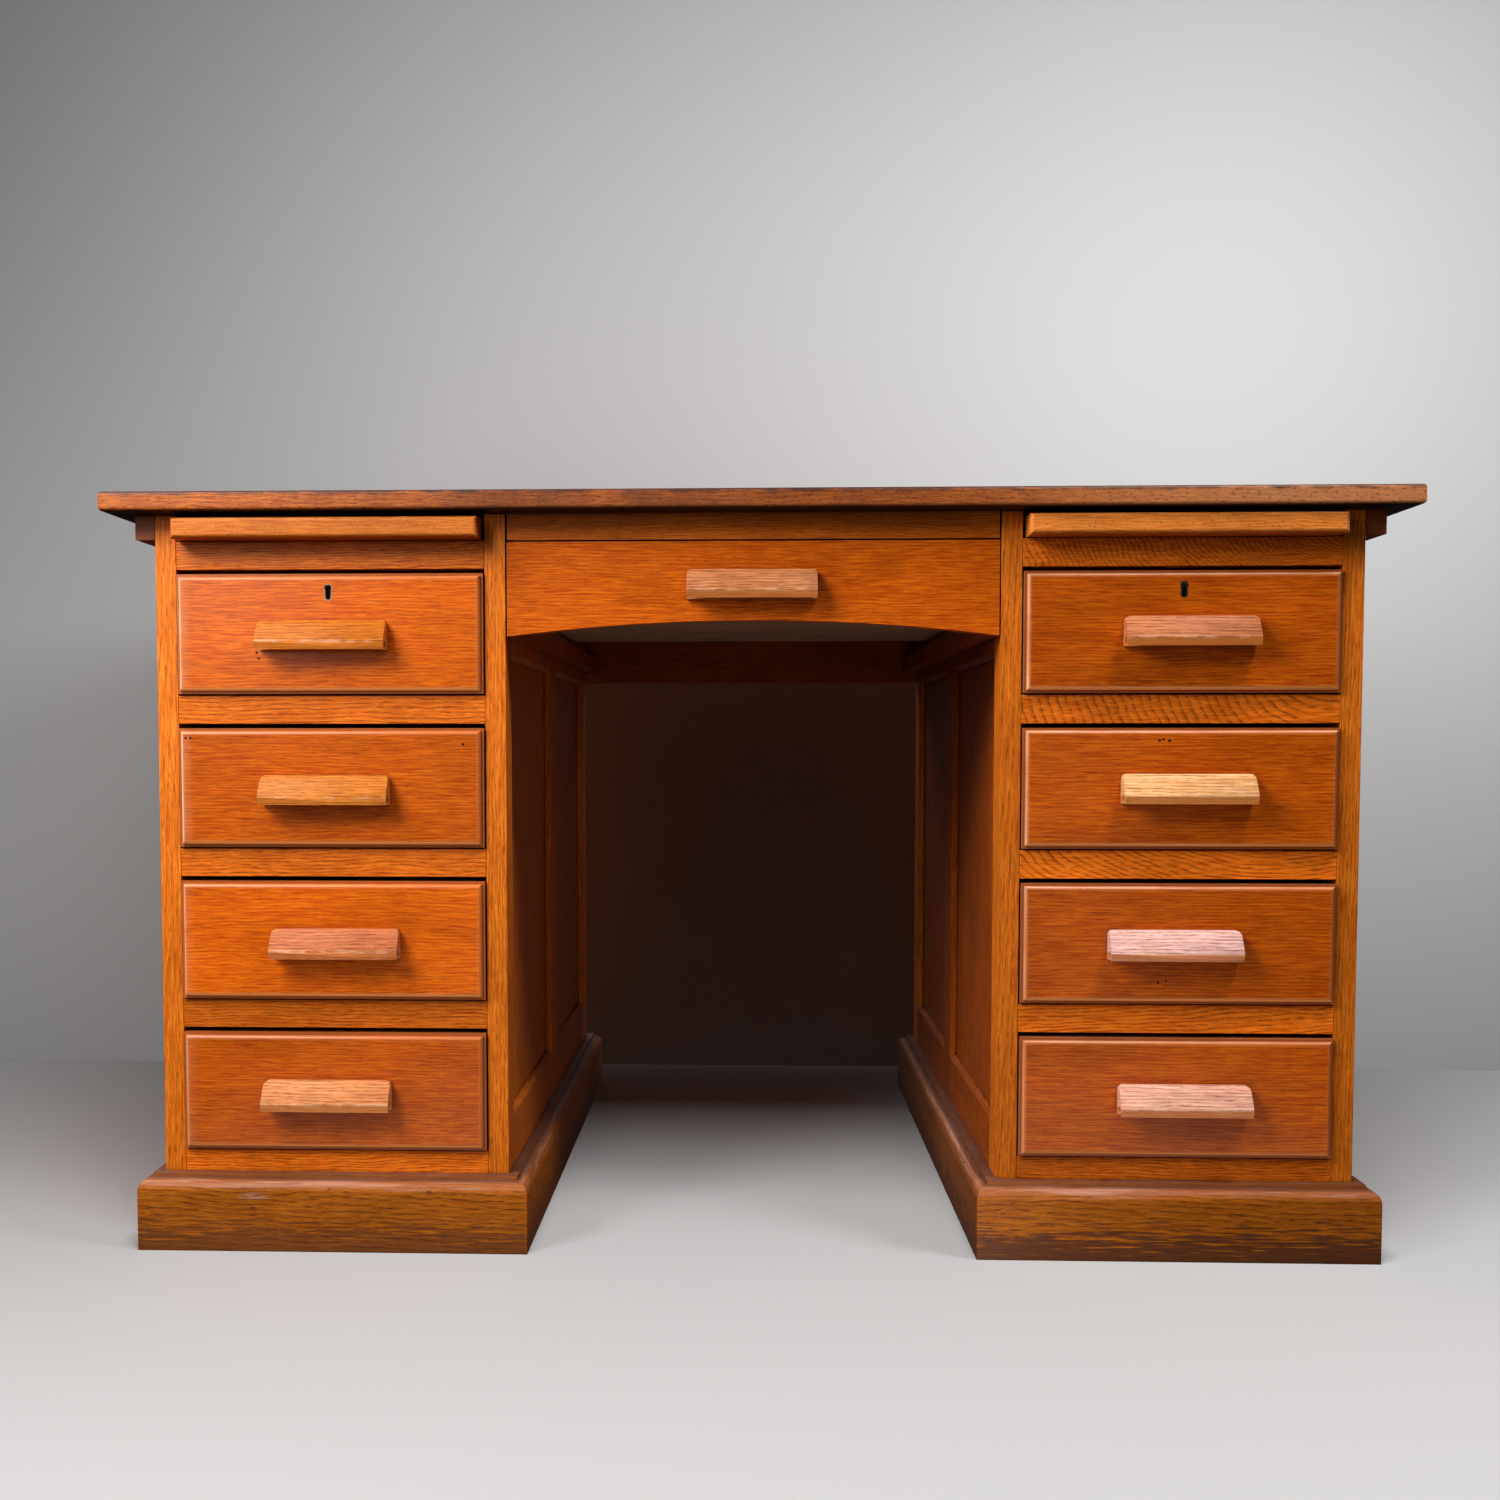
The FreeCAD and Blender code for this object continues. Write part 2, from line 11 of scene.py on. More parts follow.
import bpy
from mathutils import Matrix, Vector


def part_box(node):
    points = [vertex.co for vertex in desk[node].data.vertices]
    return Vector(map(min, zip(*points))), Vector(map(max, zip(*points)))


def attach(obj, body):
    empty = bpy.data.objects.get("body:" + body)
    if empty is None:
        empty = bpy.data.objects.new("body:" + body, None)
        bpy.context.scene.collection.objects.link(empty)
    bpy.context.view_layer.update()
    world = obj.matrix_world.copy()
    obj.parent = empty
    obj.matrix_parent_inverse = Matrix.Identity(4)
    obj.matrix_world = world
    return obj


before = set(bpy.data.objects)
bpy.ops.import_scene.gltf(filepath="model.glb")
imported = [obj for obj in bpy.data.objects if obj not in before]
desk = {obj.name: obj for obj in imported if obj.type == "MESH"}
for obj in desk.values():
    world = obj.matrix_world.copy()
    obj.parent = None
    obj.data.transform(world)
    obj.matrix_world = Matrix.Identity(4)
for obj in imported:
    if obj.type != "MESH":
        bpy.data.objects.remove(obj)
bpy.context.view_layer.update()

# %% [markdown]
# ## Colours and nodes
# Colours are written as a maker would pick them from a chart, in sRGB hex, and one function turns them to
# the linear light that shaders work in. One more function adds a node, so that a material reads as a list
# of what feeds what. A grain could be painted on an image, but a pattern worked out from each point's
# place in the board runs through the wood and meets at the corners, as grain does.

# %% Colours and nodes
MM = 0.001
MATH, VECTOR, RANGE = "ShaderNodeMath", "ShaderNodeVectorMath", "ShaderNodeMapRange"
MIX, SPLIT, NOISE = "ShaderNodeMix", "ShaderNodeSeparateXYZ", "ShaderNodeTexNoise"
# A Mix node has sockets for every kind of value: these are the ones for colours and for vectors.
MIX_A, MIX_B, MIXED = 6, 7, 2
VECTOR_A, VECTOR_B, VECTOR_MIXED = 4, 5, 1


def linear(code):
    """Linear RGBA of an sRGB hex colour."""
    channels = [int(code[i:i + 2], 16) / 255 for i in (1, 3, 5)]
    return tuple(c / 12.92 if c <= 0.04045 else ((c + 0.055) / 1.055) ** 2.4 for c in channels) + (1.0,)


def add(tree, kind, inputs, **settings):
    """Add a node with its settings, and give each named input a value or a link."""
    made = tree.nodes.new(kind)
    for name, value in settings.items():
        setattr(made, name, value)
    for socket, value in inputs.items():
        if isinstance(value, bpy.types.NodeSocket):
            tree.links.new(value, made.inputs[socket])
        else:
            made.inputs[socket].default_value = value
    return made.outputs


def new_material(name):
    """A new material and its empty tree."""
    material = bpy.data.materials.new(name)
    material.use_nodes = True
    material.node_tree.nodes.clear()
    return material, material.node_tree


def in_mm(tree):
    """Each point's place on the desk, in mm."""
    here = add(tree, "ShaderNodeTexCoord", {})["Object"]
    return add(tree, VECTOR, {0: here, 1: (1 / MM,) * 3}, operation="MULTIPLY")[0]


print("mid grey #808080 in linear light:", round(linear("#808080")[0], 3))

# %% [markdown]
# ## Patches and coats
# Stain, dirt and wear come in patches. A patch is noise of a real size in millimetres, and reading it
# between two levels decides how much of the board it covers. Colours then go on as a finisher lays
# coats, one over another. A coat is a colour and one or more shares, and where all its shares are full
# the coat is full.

# %% Patches and coats
def patches(tree, place, size, seed, levels, amounts=(0.0, 1.0), detail=2.0):
    """Patches of a size in mm along each axis: noise at the two levels gives the two amounts."""
    scaled = add(tree, VECTOR, {0: place, 1: [1 / s for s in size]}, operation="MULTIPLY")[0]
    cloud = add(tree, NOISE, {"Vector": scaled, "W": seed, "Scale": 1.0, "Detail": detail},
                noise_dimensions="4D")[0]
    return add(tree, RANGE, {0: cloud, 1: levels[0], 2: levels[1], 3: amounts[0], 4: amounts[1]})[0]


def lay(tree, wood, coats):
    """Lay coats over wood, each by the product of its shares."""
    for colour, *shares in coats:
        strength = shares[0]
        for share in shares[1:]:
            strength = add(tree, MATH, {0: strength, 1: share}, operation="MULTIPLY")[0]
        wood = add(tree, MIX, {0: strength, MIX_A: wood, MIX_B: colour}, data_type="RGBA")[MIXED]
    return wood


def room_in(tree, here, box):
    """How far in from the faces of a box a point lies along each axis, in mm."""
    middle, half = (box[0] + box[1]) / 2 / MM, (box[1] - box[0]) / 2 / MM
    away = add(tree, VECTOR, {0: here, 1: middle}, operation="SUBTRACT")[0]
    away = add(tree, VECTOR, {0: away}, operation="ABSOLUTE")[0]
    room = add(tree, VECTOR, {0: half, 1: away}, operation="SUBTRACT")[0]
    return add(tree, SPLIT, {0: room})


print("helpers made for patches, coats and the room inside a box")

# %% [markdown]
# ## The lay of the grain
# Fibres run along a board and wander a little. Points are measured from the middle of a node's box and
# turned so that the grain lies along x. Boards that were framed together have their grain turned where a
# mask says so, so that one material serves a whole frame and still changes at its joints.

# %% The lay of the grain
ALONG = {"x": (0, 0, 0), "y": (0, 0, -math.pi / 2), "z": (0, math.pi / 2, 0)}
# Fibres bend over about a hand's width: the size of a bend along and across the grain, in mm.
BEND = (95, 30, 30)


def grain_lines(tree, here, box, grain, turned, sway, seed):
    """Places along the grain, straight and with the fibres' sway in mm."""
    centred = add(tree, VECTOR, {0: here, 1: (box[0] + box[1]) / 2 / MM}, operation="SUBTRACT")[0]
    straight = add(tree, "ShaderNodeMapping", {"Vector": centred, "Rotation": ALONG[grain]})[0]
    if turned:
        second, mask = turned
        other = add(tree, "ShaderNodeMapping", {"Vector": centred, "Rotation": ALONG[second]})[0]
        straight = add(tree, MIX, {0: mask(tree, here, box), VECTOR_A: straight, VECTOR_B: other},
                       data_type="VECTOR")[VECTOR_MIXED]
    bends = add(tree, VECTOR, {0: straight, 1: [1 / b for b in BEND]}, operation="MULTIPLY")[0]
    drift = add(tree, NOISE, {"Vector": bends, "W": seed, "Scale": 1.0, "Detail": 2.0},
                noise_dimensions="4D")["Color"]
    drift = add(tree, VECTOR, {0: drift, 1: (0, sway, sway), 2: (0, -sway / 2, -sway / 2)},
                operation="MULTIPLY_ADD")[0]
    return straight, add(tree, VECTOR, {0: straight, 1: drift}, operation="ADD")[0]


print("grain can lie along", ", ".join(ALONG))

# %% [markdown]
# ## Growth rings
# Each year a tree lays one ring, porous at first and dense later. The rings are distances from a heart
# line that lies outside the board: a flat saw cut draws them as arches or waves, and a quarter cut as
# straight lines. So each board is told where its heart lies, how that slopes and how wide a ring is.

# %% Growth rings
# The share of a ring that is early wood.
EARLY = 0.6


def early_wood(tree, axes, across, heart, slope, ring):
    """1 where a ring starts, down to 0 in its late wood, for a heart's depth and height in mm."""
    deep = add(tree, MATH, {0: axes["X"], 1: slope, 2: heart[0]}, operation="MULTIPLY_ADD")[0]
    deep = add(tree, MATH, {0: deep, 1: axes["Y"]}, operation="ADD")[0]
    high = add(tree, MATH, {0: across, 1: heart[1]}, operation="SUBTRACT")[0]
    spoke = add(tree, "ShaderNodeCombineXYZ", {"Y": deep, "Z": high})[0]
    radius = add(tree, VECTOR, {0: spoke}, operation="LENGTH")["Value"]
    years = add(tree, MATH, {0: radius, 1: ring}, operation="DIVIDE")[0]
    season = add(tree, MATH, {0: years}, operation="FRACT")[0]
    return add(tree, RANGE, {0: season, 1: EARLY, 2: 0.0})[0]


print("early wood takes", EARLY, "of each ring")

# %% [markdown]
# ## Varnished oak
# Besides its rings, oak shows open pores, which are dark dashes that crowd in the early wood, and slow
# changes of tone from stain and hand polish. Rings and pores go on as coats over a body colour. The
# varnish gives the eye a soft satin sheen, the pores stay a little sunk in it, and the corners are
# darkened, partly by old grime and partly as painted shade.

# %% Varnished oak
# Sizes along and across the grain, in mm. Real pores are 0.3 mm wide, and are drawn about 1 mm wide so
# that they show. Bundles of fibres take stain differently, breaks interrupt the ring lines, and clouds
# are where hands have polished more.
PORE, BUNDLE, BREAK, CLOUD = (11, 1.1, 1.1), (30, 1.4, 1.4), (25, 3, 3), (110, 60, 40)
# How deep the pores lie and how far the painted corner shade reaches out of a corner, in mm.
PORE_DEPTH, CORNER_SHADE_REACH = 0.3, 7.0
# How far the clouds change tone and roughness.
MOTTLE, POLISH = 0.15, 0.06


def oak(name, box, grain, tones, seed, ring=3.0, heart=(0.0, 400.0), slope=0.03, lines=0.45, pores=0.5,
        sway=13.0, rough=0.42, shine=0.18, coat=0.0, tone=1.0, turned=None, boards=None, wear=None):
    """Varnished oak for the boards in a box, with pale, body and pore tones."""
    pale, body, pore = (linear(code) for code in tones)
    material, tree = new_material(name)
    here = in_mm(tree)
    straight, fibre = grain_lines(tree, here, box, grain, turned, sway, seed)
    axes = add(tree, SPLIT, {0: fibre})
    across = axes["Z"]
    if boards:
        across, heart, slope, ring, tone = boards(tree, here, across)
    early = early_wood(tree, axes, across, heart, slope, ring)
    crowded = add(tree, RANGE, {0: early, 3: 0.3})[0]
    dash = patches(tree, fibre, PORE, seed + 3, (0.5, 0.62), detail=1.0)
    dash = add(tree, MATH, {0: dash, 1: crowded}, operation="MULTIPLY")[0]
    streak = patches(tree, fibre, BUNDLE, seed + 7, (0.38, 0.62), detail=3.0)
    broken = patches(tree, fibre, BREAK, seed + 5, (0.35, 0.6))
    wood = lay(tree, body, [(pale, streak), (pore, early, early, broken, lines), (pore, dash, pores)])
    cloud = patches(tree, straight, CLOUD, seed + 11, (0.3, 0.7), detail=3.0)
    mottled = add(tree, RANGE, {0: cloud, 3: 1 - MOTTLE, 4: 1 + MOTTLE})[0]
    mottled = add(tree, MATH, {0: mottled, 1: tone}, operation="MULTIPLY")[0]
    wood = add(tree, VECTOR, {0: wood, "Scale": mottled}, operation="SCALE")[0]
    if wear:
        wood = lay(tree, wood, wear(tree, here))
    # Painted shade: ambient occlusion darkens the wood near corners and gaps, with a little old grime.
    corner = add(tree, "ShaderNodeAmbientOcclusion", {"Distance": CORNER_SHADE_REACH * MM}, samples=4)["AO"]
    corner_shade = add(tree, RANGE, {0: corner, 1: 0.25, 2: 0.8, 3: 0.4})[0]
    wood = add(tree, VECTOR, {0: wood, "Scale": corner_shade}, operation="SCALE")[0]
    gloss = add(tree, RANGE, {0: cloud, 3: rough - POLISH, 4: rough + POLISH})[0]
    relief = add(tree, RANGE, {0: dash, 3: 1.0, 4: 0.0})[0]
    bump = add(tree, "ShaderNodeBump", {"Height": relief, "Strength": 0.3, "Distance": PORE_DEPTH * MM})[0]
    surface = add(tree, "ShaderNodeBsdfPrincipled", {
        "Base Color": wood, "Roughness": gloss, "Normal": bump, "IOR": 1.5, "Specular IOR Level": shine,
        "Coat Weight": coat, "Coat Roughness": 0.2})[0]
    add(tree, "ShaderNodeOutputMaterial", {"Surface": surface})
    return material


def dress(name, material):
    """Give one node its material."""
    slots = desk[name].data.materials
    slots.clear()
    slots.append(material)


def dress_in_oak(name, grain, tones, seed, **cut):
    """Give one node oak of its own, cut and finished as told."""
    dress(name, oak(name + "_oak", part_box(name), grain, tones, seed, **cut))


print("oak pores", PORE[0], "mm long, drawn", PORE[1], "mm wide")

# %% [markdown]
# ## Drawer fronts
# The eight fronts and the arched one were cut from quarter-sawn boards, so the rings run along them as
# fine, nearly straight lines. The ovolo round the field has been rubbed to a redder brown and the ledge
# outside it is darker. Both follow the front's outline, so they are measured from it. The moulding's faces
# that turn towards the light carry a painted highlight, the left fronts a painted sheen near their left end,
# and faces that look down a painted light from below.

# %% Drawer fronts
SIDES, ROWS = ("left", "right"), (1, 2, 3, 4)
FRONT = ("#E66E0A", "#C24D02", "#662302")
FRONT_CUT = {"ring": 3.4, "sway": 8.0, "rough": 0.4, "shine": 0.12, "coat": 0.35}
FRONT_SEEDS = {"left": 0.0, "right": 10.5}
FRONT_TONES = {"left": (0.98, 0.85, 1.04, 0.77), "right": (0.78, 0.82, 0.77, 0.8)}
CENTRE_TONE = 0.94
# The pale orange is painted light from below on the faces of the moulding that look down.
LEDGE, OVOLO, PAINTED_UPLIGHT, HOLE = linear("#8A3C0C"), linear("#D27C44"), linear("#FFA254"), linear("#1E0E06")
# Where ovolo and ledge start and are full, in mm in from the front's outline.
OVOLO_BAND, LEDGE_BAND = (8.0, 4.6), (3.4, 2.4)
# A painted highlight lies on the moulding's faces that turn towards the light, on the left fronts mostly
# those that face left, and on upper drawers more than lower ones.
PAINTED_HIGHLIGHT, HIGHLIGHT_FROM = linear("#F4BE94"), {"left": (-0.95, -0.15, 0.25), "right": (-0.7, -0.15, 0.6)}
HIGHLIGHT_AMOUNT = (0.85, 0.75, 0.55, 0.4)
# A painted sheen lies near the left end of the left fronts: where it starts and is full, in mm.
SHEEN_BAND, END_SHEEN = (16.0, 4.0), {"left": 0.25, "right": 0.0}
# The walls of a keyhole are painted black as shade, from this far below the face and this far out, in mm.
KEYHOLE_SHADE_DEPTH, KEYHOLE_SHADE_RADIUS = 2.0, 11.0
# Nail holes and dents in some fronts: along, up and radius, in mm.
MARKS = {
    "left_drawer_1": ((84, 42, 1.8), (86, 36, 1.6)),
    "left_drawer_2": ((8.5, 112.5, 1.6), (13.5, 112.5, 1.6), (296, 106, 1.8)),
    "right_drawer_2": ((136, 110, 1.9), (140, 111, 1.6), (146, 109.5, 1.8)),
    "right_drawer_3": ((138, 22, 1.5), (146, 24, 1.3)),
}


def dark_marks(tree, here, marks):
    """Coats for small dark marks, each given by its place and radius in mm."""
    coats = []
    for x, y, z, radius in marks:
        away = add(tree, VECTOR, {0: here, 1: (x, y, z)}, operation="DISTANCE")["Value"]
        coats.append((HOLE, add(tree, RANGE, {0: away, 1: radius, 2: radius * 0.7, 4: 0.95})[0]))
    return coats


def front_marks_and_light(box, marks, side, amount):
    """Marks and painted light of a drawer front: end sheen, redder ovolo with painted highlights, darker
    ledge, painted light on downward faces, and dark marks, among them the keyhole's painted shade.
    """
    def coats(tree, here):
        room = room_in(tree, here, box)
        inset = add(tree, MATH, {0: room["X"], 1: room["Z"]}, operation="MINIMUM")[0]
        along = add(tree, SPLIT, {0: here})["X"]
        from_left = add(tree, MATH, {0: along, 1: box[0].x / MM}, operation="SUBTRACT")[0]
        facing = add(tree, "ShaderNodeNewGeometry", {})["Normal"]
        toward = add(tree, VECTOR, {0: facing, 1: HIGHLIGHT_FROM[side]}, operation="DOT_PRODUCT")["Value"]
        upward = add(tree, SPLIT, {0: facing})["Z"]
        patchy_share = patches(tree, here, (50, 20, 50), 17, (0.3, 0.6), (0.3 * amount, amount))
        painted_sheen = add(tree, RANGE, {0: from_left, 1: SHEEN_BAND[0], 2: SHEEN_BAND[1],
                                     4: END_SHEEN[side]})[0]
        ovolo = add(tree, RANGE, {0: inset, 1: OVOLO_BAND[0], 2: OVOLO_BAND[1], 4: 0.55})[0]
        highlight_share = add(tree, RANGE, {0: toward, 1: 0.36, 2: 0.6})[0]
        ledge = add(tree, RANGE, {0: inset, 1: LEDGE_BAND[0], 2: LEDGE_BAND[1], 4: 0.5})[0]
        under = add(tree, RANGE, {0: upward, 1: -0.15, 2: -0.4, 4: 0.9})[0]
        return [(PAINTED_HIGHLIGHT, painted_sheen, patchy_share), (OVOLO, ovolo), (PAINTED_HIGHLIGHT, highlight_share, patchy_share), (LEDGE, ledge),
                (PAINTED_UPLIGHT, under)] + dark_marks(tree, here, marks)
    return coats


for side in SIDES:
    for row in ROWS:
        drawer = side + "_drawer_" + str(row)
        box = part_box(drawer + "_front")
        left, face, foot = box[0] / MM
        marks = [(left + x, face, foot + z, radius) for x, z, radius in MARKS.get(drawer, ())]
        # The keyhole is painted black inside as shade.
        if row == 1:
            low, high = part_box(side + "_escutcheon")
            key = (low + high) / 2 / MM
            marks.append((key.x, face + KEYHOLE_SHADE_DEPTH + KEYHOLE_SHADE_RADIUS, key.z, KEYHOLE_SHADE_RADIUS))
        dress_in_oak(drawer + "_front", "x", FRONT, FRONT_SEEDS[side] + row, tone=FRONT_TONES[side][row - 1],
                     wear=front_marks_and_light(box, marks, side, HIGHLIGHT_AMOUNT[row - 1]), **FRONT_CUT)
dress_in_oak("centre_drawer_front", "x", FRONT, 25, tone=CENTRE_TONE, **FRONT_CUT)
print(len(SIDES) * len(ROWS) + 1, "drawer fronts finished")

# %% [markdown]
# ## Pulls
# Each pull was shaped from an offcut, so all nine differ in colour, and hands have worn them paler than
# the fronts. The pale pink of the three lower right pulls is partly a painted reflection of light from
# above. Their grain is coarser to the eye, with dark flecks in the pores. Under the nose the colour turns
# to one orange tone, and along its arris lie paler patches, partly from fingers and partly a painted
# highlight, so both are measured from the pull's foot.

# %% Pulls
# The pale pink tones of the three lower right pulls are partly a painted reflection of light from above.
PULL_TONES_AND_SHEEN = {
    "left": (("#C87018", "#AD570D"), ("#D9812D", "#BA651C"), ("#D37A4B", "#B36138"), ("#E7935A", "#C87944")),
    "right": (("#D07F51", "#B2653D"), ("#FEC287", "#E39E5B"), ("#FFCDC0", "#E0A79A"), ("#FFC3A7", "#E29A81")),
}
CENTRE_PULL, PULL_PORE = ("#C27B4A", "#9F5B32"), ("#5E2A10",)
PULL_CUT = {"ring": 3.2, "slope": 0.1, "lines": 0.7, "pores": 0.65, "sway": 8.0, "rough": 0.5, "shine": 0.12}
PULL_SEEDS = {"left": 30.0, "right": 40.5}
# The nose's arris lies this far up, in mm.
NOSE_HEIGHT = 8.0
# Under the nose the colour turns to one orange tone, by a share for each side; the pale along the arris is
# partly wear and partly a painted highlight.
NOSE_PALE_AND_HIGHLIGHT, NOSE_ORANGE = linear("#F6C8A0"), linear("#DA7A30")
NOSE_ORANGE_SHARE = {"left": 0.35, "centre": 0.4, "right": 0.75}


def nose_wear_and_highlight(box, stained):
    """Marks and painted highlight of a pull: one orange tone under its nose, and paler patches along the
    arris, partly where fingers curl and partly a painted highlight.
    """
    def coats(tree, here):
        height = add(tree, SPLIT, {0: here})["Z"]
        above = add(tree, MATH, {0: height, 1: box[0].z / MM + NOSE_HEIGHT}, operation="SUBTRACT")[0]
        away = add(tree, MATH, {0: above}, operation="ABSOLUTE")[0]
        under = add(tree, RANGE, {0: above, 1: 0.0, 2: -1.0, 4: stained})[0]
        arris = add(tree, RANGE, {0: away, 1: 2.4, 2: 0.8, 4: 0.3})[0]
        highlight_share = patches(tree, here, (14, 14, 5), 8, (0.45, 0.6))
        return [(NOSE_ORANGE, under), (NOSE_PALE_AND_HIGHLIGHT, arris, highlight_share)]
    return coats


for side in SIDES:
    for row, tones in zip(ROWS, PULL_TONES_AND_SHEEN[side]):
        name = side + "_drawer_" + str(row) + "_pull"
        dress_in_oak(name, "x", tones + PULL_PORE, PULL_SEEDS[side] + row,
                     wear=nose_wear_and_highlight(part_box(name), NOSE_ORANGE_SHARE[side]), **PULL_CUT)
dress_in_oak("centre_drawer_pull", "x", CENTRE_PULL + PULL_PORE, 45,
             wear=nose_wear_and_highlight(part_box("centre_drawer_pull"), NOSE_ORANGE_SHARE["centre"]), **PULL_CUT)
print(len(SIDES) * len(ROWS) + 1, "pulls finished, each in its own tone")

# %% [markdown]
# ## Rails between the drawers
# Every rail is a board of its own, sawn another way from the log: some show long parallel lines and one
# shows waves that cross the rail. The rails of a pedestal are one node, so a stepped ramp over the height
# gives each rail its own heart line, slope, ring width and tone, lowest rail first.

# %% Rails
RAIL = ("#DA7018", "#BC5407", "#521E02")
RAIL_SEEDS = {"left": 64, "right": 65}
# Height from rail to rail, height at which the second rail's values start, and the ramp's length, in mm.
RAIL_PITCH, SECOND_RAIL, RAMP_LENGTH = 158.0, 165.0, 1000.0
# Heart depth, heart height, slope, ring width and tone of each rail, in mm.
RAILS = {
    "left": ((40, 300, 0.1, 3.0, 1.6), (60, 300, 0.05, 3.4, 1.12), (60, 240, 0.08, 3.6, 1.35),
             (30, 130, 0.05, 4.6, 1.3), (60, 300, 0.1, 3.0, 1.15)),
    "right": ((40, 160, 0.1, 3.0, 1.35), (80, 120, 0.12, 3.6, 1.85), (60, 60, -0.45, 4.2, 1.8),
              (150, 60, -0.85, 7.5, 1.4), (120, 40, -0.5, 3.0, 1.3)),
}


def rail_boards(rails):
    """How each rail of a pedestal is sawn, stepped by height."""
    def cut(tree, here, across):
        height = add(tree, SPLIT, {0: here})["Z"]
        share = add(tree, MATH, {0: height, 1: 1 / RAMP_LENGTH}, operation="MULTIPLY")[0]
        stepped = []
        for values in zip(*rails):
            low, high = min(values), max(values)
            step = add(tree, "ShaderNodeValToRGB", {0: share})[0]
            ramp = step.node.color_ramp
            ramp.interpolation = "CONSTANT"
            while len(ramp.elements) < len(values):
                ramp.elements.new(1.0)
            for i, value in enumerate(values):
                ramp.elements[i].position = (SECOND_RAIL + RAIL_PITCH * (i - 1)) / RAMP_LENGTH if i else 0.0
                grey = (value - low) / (high - low)
                ramp.elements[i].color = (grey, grey, grey, 1.0)
            stepped.append(add(tree, RANGE, {0: step, 3: low, 4: high})[0])
        deep, high, slope, ring, tone = stepped
        across = add(tree, MATH, {0: across, 1: RAIL_PITCH / 2, 2: -RAIL_PITCH / 2}, operation="WRAP")[0]
        return across, (deep, high), slope, ring, tone
    return cut


for side in SIDES:
    dress_in_oak(side + "_front_rails", "x", RAIL, RAIL_SEEDS[side], lines=0.95, pores=0.6,
                 boards=rail_boards(RAILS[side]))
dress_in_oak("centre_rail", "x", RAIL, 67)
print(len(RAILS["left"]) + len(RAILS["right"]), "pedestal rails and the centre rail finished")

# %% [markdown]
# ## Posts and writing slides
# Posts were split from straight timber, so their lines run from end to end. The slides' nosings are
# lighter than the rails and freckled with small dark specks where the open pores have filled.

# %% Posts and slides
POST = ("#EE8220", "#D0620B", "#7E3407")
POST_SEEDS, POST_TONES = {"left": 74, "right": 75}, {"left": 1.08, "right": 1.0}
SLIDES = {"left": ("#D4782A", "#BC5E16", "#6E3208"), "right": ("#F69440", "#DC7624", "#82400C")}
SLIDE_SEEDS = {"left": 77, "right": 78}
SPECK = linear("#6A3410")


def specks(tree, here):
    """Wear of the slides: dark specks."""
    return [(SPECK, patches(tree, here, (3.0, 2.4, 2.4), 5, (0.62, 0.72), (0.0, 0.6), 1.0))]


for side in SIDES:
    dress_in_oak(side + "_posts", "z", POST, POST_SEEDS[side], ring=3.2, sway=6.0, pores=0.75,
                 tone=POST_TONES[side])
    for part, grain in (("_slide_board", "y"), ("_slide_nosing", "x")):
        dress_in_oak(side + part, grain, SLIDES[side], SLIDE_SEEDS[side], wear=specks, pores=0.35)
print("posts of", len(SIDES), "pedestals and", len(SLIDES), "writing slides finished")

# %% [markdown]
# ## Top, lipping and cleats
# The lipping has had the most knocks. Its upper arris is black with ink, sleeves have browned it where
# someone sat, its right end has faded, and dark flecks fill the pores. The underside was never varnished
# and has gone dark, and it is painted nearly black as shade too. The side strips of a frame run front to
# back, so their grain turns at the mitres.

# %% Top
EDGE = ("#C86E2C", "#A8501C", "#42200F")
TOP = ("#8E4A1A", "#723610", "#3A1A08")
CLEAT = ("#A8562A", "#84401C", "#401C0A")
INK, SLEEVE, FADED = linear("#2A2024"), linear("#5A3220"), linear("#E0A070")
# The underside colour is bare wood gone dark, with painted shade.
UNDERSIDE_AND_SHADE = linear("#2A1810")
# Where the lipping starts to fade and has faded most, to the right of the desk's middle, in mm.
FADED_BAND = (180.0, 520.0)
# Where sleeves lay: the middle, and how far from it the brown ends and is still full, in mm.
SLEEVE_MIDDLE, SLEEVE_BAND = -90.0, (430.0, 200.0)
# Ink lies above a ragged line between these heights, and is thin and full this far from the edge, in mm.
INK_LINE, INK_BAND = (779.0, 774.0), (30.0, 3.0)


def side_boards(tree, here, box):
    """1 on the side boards of a mitred frame."""
    room = room_in(tree, here, box)
    return add(tree, MATH, {0: room["X"], 1: room["Y"]}, operation="LESS_THAN")[0]


def bare_and_shaded_underside(tree, here):
    """Wear and painted shade of the top: an underside gone dark and darkened further as shade."""
    facing = add(tree, "ShaderNodeNewGeometry", {})["Normal"]
    upward = add(tree, SPLIT, {0: facing})["Z"]
    return [(UNDERSIDE_AND_SHADE, add(tree, RANGE, {0: upward, 1: -0.5, 2: -0.9})[0])]


